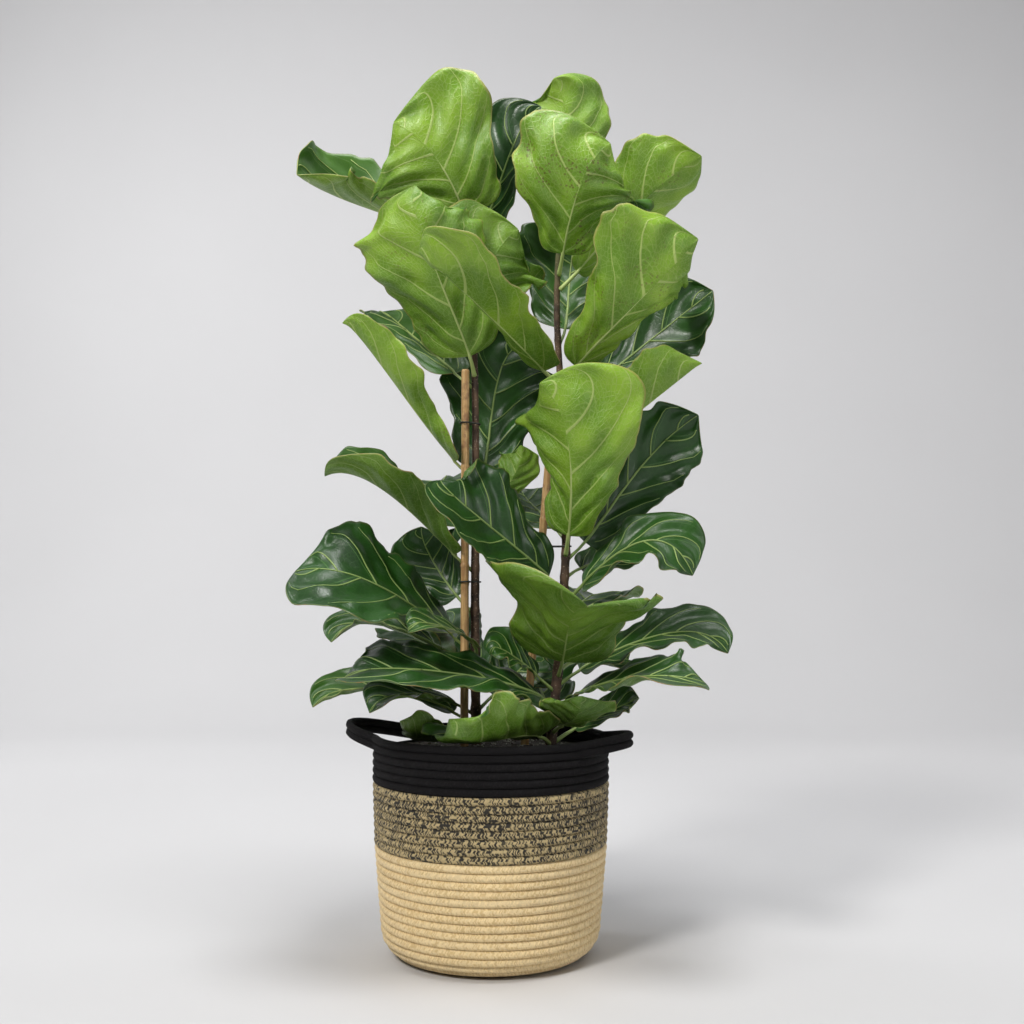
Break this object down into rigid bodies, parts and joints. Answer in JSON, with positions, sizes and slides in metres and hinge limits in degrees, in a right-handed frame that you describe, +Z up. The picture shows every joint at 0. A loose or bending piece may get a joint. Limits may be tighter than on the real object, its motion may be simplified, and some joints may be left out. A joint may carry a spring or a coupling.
{
  "type": "potted fiddle leaf fig",
  "caption": "Fiddle leaf fig with caned stems and large lobed glossy leaves, growing in soil in a round coiled-rope basket with two rim handles.",
  "frame": {"origin": "centre of the basket's flat underside, where it rests on the floor", "axes": "+Z up along the basket's axis, towards the leaves; -Y is the front; +X is to the right seen from the front"},
  "size_m": [0.5722, 0.4157, 1.167],
  "materials": {
    "natural_rope": "matte",
    "heather_rope": "matte",
    "black_rope": "matte",
    "soil": "matte",
    "bark": "matte",
    "bamboo": "satin",
    "tie_cord": "matte",
    "leaf": "satin"
  },
  "bodies": {
    "root": {"basket_natural": "natural_rope", "basket_heather": "heather_rope", "basket_black": "black_rope", "basket_rim_handles": "black_rope", "soil": "soil", "stem_left": "bark", "stem_right": "bark", "cane_left": "bamboo", "cane_right": "bamboo", "tie_left_upper": "tie_cord", "tie_left_lower": "tie_cord", "tie_right": "tie_cord", "leaf_b01": "leaf", "leaf_b02": "leaf", "leaf_b03": "leaf", "leaf_b04": "leaf", "leaf_b05": "leaf", "leaf_b06": "leaf", "leaf_b07": "leaf", "leaf_b08": "leaf", "leaf_b09": "leaf", "leaf_b10": "leaf", "leaf_l01": "leaf", "leaf_l02": "leaf", "leaf_l03": "leaf", "leaf_l04": "leaf", "leaf_l05": "leaf", "leaf_l06": "leaf", "leaf_l07": "leaf", "leaf_l08": "leaf", "leaf_l09": "leaf", "leaf_l10": "leaf", "leaf_l11": "leaf", "leaf_l12": "leaf", "leaf_l13": "leaf", "leaf_l14": "leaf", "leaf_l15": "leaf", "leaf_l16": "leaf", "leaf_r01": "leaf", "leaf_r03": "leaf", "leaf_r04": "leaf", "leaf_r05": "leaf", "leaf_r06": "leaf", "leaf_r07": "leaf", "leaf_r08": "leaf", "leaf_r09": "leaf", "leaf_r10": "leaf", "leaf_r11": "leaf", "leaf_r12": "leaf", "leaf_r13": "leaf", "leaf_r14": "leaf", "leaf_r15": "leaf", "leaf_r16": "leaf", "leaf_r17": "leaf", "leaf_r18": "leaf", "leaf_r19": "leaf", "leaf_r20": "leaf", "leaf_r21": "leaf", "leaf_r22": "leaf"}
  },
  "joints": []
}
